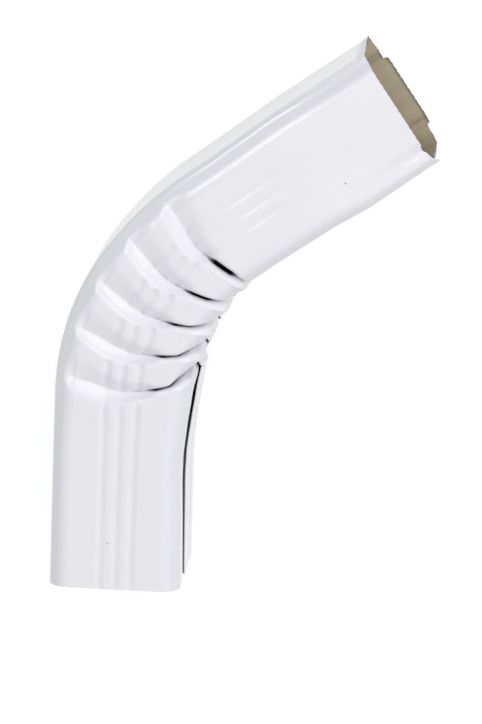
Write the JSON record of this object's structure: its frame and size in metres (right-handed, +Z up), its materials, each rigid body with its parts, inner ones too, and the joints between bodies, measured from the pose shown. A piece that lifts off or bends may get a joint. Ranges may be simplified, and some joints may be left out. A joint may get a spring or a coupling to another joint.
{
  "type": "downspout elbow",
  "caption": "Gutter downspout elbow of fluted, painted aluminium sheet, gathered into throat pleats to turn rainwater, with a plain end and a crimped end.",
  "frame": {"origin": "bottom centre of the elbow's box, on the surface that its far narrow wall lies on", "axes": "+Z up out of the bend plane, +Y along the plain leg from its open end towards the bend, +X towards the side that the upper leg turns to"},
  "size_m": [0.168, 0.2472, 0.0825],
  "materials": {
    "white_paint": "gloss"
  },
  "bodies": {
    "root": {"downspout_elbow": "white_paint"}
  },
  "joints": []
}
